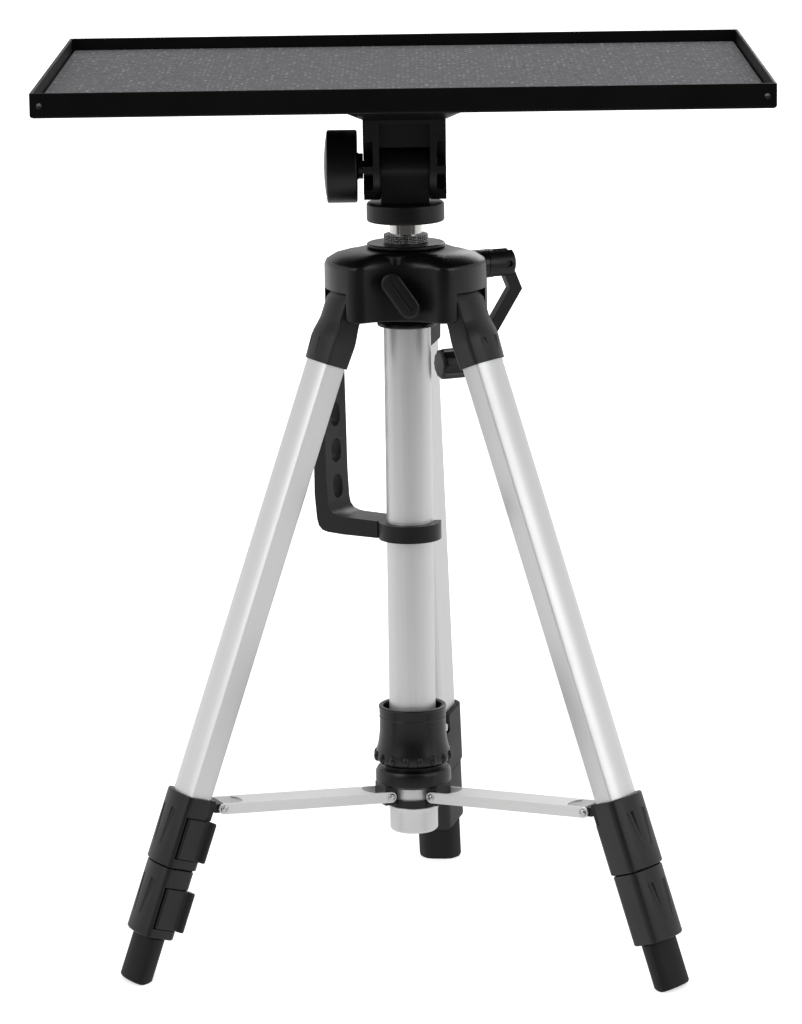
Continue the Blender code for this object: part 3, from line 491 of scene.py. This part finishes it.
# The spreader. A black hub slides on the column under a twist collar with a ring of small grips
# and two rims. Three pressed aluminium channels reach from the hub to the legs, and turn at both
# ends on shiny rivets with hollow domed heads.
bright = plated_steel("rivet_nickel", (0.68, 0.68, 0.67, 1), 0.16)
dress("spreader_hub", "moulding", "hub", glossy_black, "black_plastic", 0.0005)
dress("spreader_collar", "moulding", "hub_collar", glossy_black, "black_plastic", 0.0005)

grip_count = 16
first_grip = 11
grips = []
for k in range(grip_count):
    grip_place = around(360 / grip_count * k + first_grip, out=0.0212, height=0.1122)
    bpy.ops.mesh.primitive_uv_sphere_add(segments=16, ring_count=10, radius=0.0021, location=grip_place)
    bpy.ops.transform.resize(value=(1, 1, 1.5))
    grips.append(bpy.context.object)
select_only(*grips)
bpy.ops.object.join()
settle("collar_grips", "hub_collar", glossy_black)
bpy.ops.object.shade_smooth()
for height, out, thick in ((0.1412, 0.0189, 0.0009), (0.1352, 0.0187, 0.0008)):
    bpy.ops.mesh.primitive_torus_add(location=around(0, 0, height), major_radius=out, minor_radius=thick,
                                     major_segments=64, minor_segments=10)
    settle(f"collar_rim_{int(height * 1e4)}", "hub_collar", glossy_black)
    bpy.ops.object.shade_smooth()

rivet_radius = 0.0023
rivet_cut = rivet_radius * 0.8
rivet_top = rivet_radius * 0.79
rivet_lip = 0.0004
rivet_hollow = 0.0011
rivet_flatness = 0.6
rivet_gap = 0.0002


def rivet_head(spot, outward):
    """A flattened dome with a hollow in its top, standing out from a spot on an arm's side."""
    bpy.ops.mesh.primitive_uv_sphere_add(segments=24, ring_count=12, radius=rivet_radius)
    head = bpy.context.object
    bpy.ops.object.mode_set(mode="EDIT")
    bpy.ops.mesh.select_all(action="SELECT")
    bpy.ops.mesh.bisect(plane_co=(0, 0, 0), plane_no=(0, 0, 1), use_fill=True, clear_inner=True)
    bpy.ops.mesh.select_all(action="SELECT")
    bpy.ops.mesh.bisect(plane_co=(0, 0, rivet_cut), plane_no=(0, 0, 1), use_fill=True, clear_outer=True)
    bpy.ops.mesh.select_all(action="DESELECT")
    bpy.ops.object.mode_set(mode="OBJECT")
    for face in head.data.polygons:
        face.select = face.center.z > rivet_top
    bpy.ops.object.mode_set(mode="EDIT")
    bpy.ops.mesh.select_mode(type="FACE")
    bpy.ops.mesh.inset(thickness=rivet_lip)
    bpy.ops.mesh.extrude_region_move(TRANSFORM_OT_translate={"value": (0, 0, -rivet_hollow)})
    bpy.ops.object.mode_set(mode="OBJECT")
    upright = outward.to_track_quat("Z", "Y").to_matrix().to_4x4()
    flat = Matrix.Diagonal((1, 1, rivet_flatness, 1))
    head.matrix_world = Matrix.Translation(spot) @ upright @ flat
    return head


arm_half_width = 0.009
arm_run = 0.1053
arm_climb = 0.0065
arm_colour = (0.86, 0.86, 0.855, 1)
for leg in legs:
    turn = joint(f"arm_{leg}_turn")
    across = Vector(turn["axis"])
    out = across.cross(Vector((0, 0, 1)))
    along_arm = Matrix((across, Vector((0, 0, 1)), out)).transposed()
    pressed = satin_aluminium(f"pressed_aluminium_{leg}", along_arm.to_euler(), arm_colour)
    dress(f"spreader_arm_{leg}", "pressing", f"arm_{leg}", pressed, "aluminium", 0.0003)
    dress(f"arm_pin_{leg}", "nickel", f"arm_{leg}", bright, "chrome", 0.0001)
    hub_end = Vector(turn["pos_m"])
    leg_end = hub_end + out * arm_run + Vector((0, 0, arm_climb))
    for end, spot in (("hub", hub_end), ("leg", leg_end)):
        heads = []
        for side in (-1, 1):
            outward = across * side
            heads.append(rivet_head(spot + outward * (arm_half_width + rivet_gap), outward))
        select_only(*heads)
        bpy.ops.object.join()
        settle(f"arm_{end}_rivet_{leg}", f"arm_{leg}", bright)
        bpy.ops.object.shade_smooth_by_angle(angle=math.radians(40))


# The inner column, which carries the head and slides in the outer tube. It is polished and
# chromed, and only its neck shows, above a knurled ring at the top of the crown. The knurls are
# two sets of slanting cuts that cross. Their colour is painted light: painted shade darkens the
# cuts and a painted highlight makes the peaks paler than the dark plating.
mirror_chrome = plated_steel("column_chrome", (0.78, 0.76, 0.74, 1), 0.05)
dress("inner_column", "chrome", "column", mirror_chrome, "chrome", 0.0003)
dress("column_guide_bush", "moulding", "column", nylon_black, "black_plastic", 0.0003)

knurls_round = 36.0
knurl_climb = 3200.0
# Painted shade for the knurl cuts and painted highlight for the knurl peaks.
cut_painted_shade = (0.10, 0.105, 0.105, 1)
peak_painted_highlight = (0.86, 0.87, 0.86, 1)
dark_plate = plated_steel("knurled_plate", (0.42, 0.43, 0.43, 1), 0.24)
tree = dark_plate.node_tree
place = add_node(tree, "ShaderNodeTexCoord").outputs["Object"]
centred = add_node(tree, "ShaderNodeVectorMath", {0: place, 1: (column.x, column.y, 0)},
                   operation="SUBTRACT")
parts = add_node(tree, "ShaderNodeSeparateXYZ", {0: centred.outputs[0]})
angle = reckon(tree, "ARCTAN2", parts.outputs["Y"], parts.outputs["X"])
across = reckon(tree, "MULTIPLY", angle, knurls_round)
upward = reckon(tree, "MULTIPLY", parts.outputs["Z"], knurl_climb)
rising = reckon(tree, "SINE", reckon(tree, "ADD", across, upward))
falling = reckon(tree, "SINE", reckon(tree, "SUBTRACT", across, upward))
knurl = reckon(tree, "MULTIPLY", rising, falling)
emboss(tree, knurl, strength=0.9, depth=0.0003)
# Painted light in the colour: painted shade darkens the cuts and a painted highlight makes the peaks
# pale.
knurl_painted_light = blend(tree, stretch(tree, knurl, -0.5, 0.6), cut_painted_shade, peak_painted_highlight)
tree.links.new(knurl_painted_light, tree.nodes["Principled BSDF"].inputs["Base Color"])
dress("neck_ring", "knurled", "crown", dark_plate, "steel", 0.0001)


# The tilt head. The base turns on the column, and the ribbed yoke and the tray plate tilt on the
# bolt through its drum, which the round knob on the left clamps. A friction washer lies on each
# side of the drum.
dress("head_base", "moulding", "pan_base", satin_black, "black_plastic", 0.0006)
dress("tilt_yoke", "moulding", "tray", satin_black, "black_plastic", 0.0005)
dress("tilt_knob", "moulding", "tilt_clamp", satin_black, "black_plastic", 0.0007)
dress("tray_mount_plate", "moulding", "tray", satin_black, "black_plastic", 0.0006)
drum_middle = Vector(joint("head_tilt")["pos_m"])
washer_aside = 0.01415
for side, out in (("left", -washer_aside), ("right", washer_aside)):
    bpy.ops.mesh.primitive_cylinder_add(vertices=56, radius=0.0188, depth=0.00044,
                                        location=drum_middle + Vector((out, 0, 0)),
                                        rotation=(0, math.pi / 2, 0))
    settle(f"friction_washer_{side}", "tray", satin_black)


# The tray. It is sheet steel with a folded rim, powder coated near black, with a soft dark grey
# mat laid inside that is flecked with pale specks.
coat = moulded_black("powder_coat", (0.0022, 0.0022, 0.002, 1), 0.46, grain=1400.0, specular=0.12)
dress("tray_pan", "coated", "tray", coat, "black_steel", 0.0004)

mat_grey = (0.114, 0.112, 0.120, 1)
speck_pale = (0.44, 0.44, 0.46, 1)
specks_per_metre = 380.0
speck_full, speck_gone = 0.14, 0.46
bare_cells, flecked_cells = 0.62, 0.98
weave_low, weave_high = 0.36, 0.64
foam, tree, shader, place = new_material("flecked_mat")
cell = add_node(tree, "ShaderNodeTexVoronoi",
                {"Vector": place, "Scale": specks_per_metre, "Randomness": 1.0})
within = stretch(tree, cell.outputs["Distance"], speck_full, speck_gone, new_low=1.0, new_high=0.0)
pick = add_node(tree, "ShaderNodeSeparateColor", {0: cell.outputs["Color"]})
chosen = stretch(tree, pick.outputs[0], bare_cells, flecked_cells)
speck = reckon(tree, "MULTIPLY", chosen, within)
weave = noise(tree, place, scale=430.0, detail=4.0)
cloud = noise(tree, place, scale=9.0, detail=2.0)
threads = stretch(tree, weave, weave_low, weave_high)
ground = blend(tree, threads, shade(mat_grey, 1.45), shade(mat_grey, 0.62))
patchy = blend(tree, cloud, ground, mat_grey)
tree.links.new(blend(tree, speck, patchy, speck_pale), shader.inputs["Base Color"])
emboss(tree, weave, strength=0.3, depth=0.0004)
shader.inputs["Roughness"].default_value = 0.9
shader.inputs["Specular IOR Level"].default_value = 0.2
dress("tray_mat", "flecked", "tray", foam, "grey_mat", 0.0004)
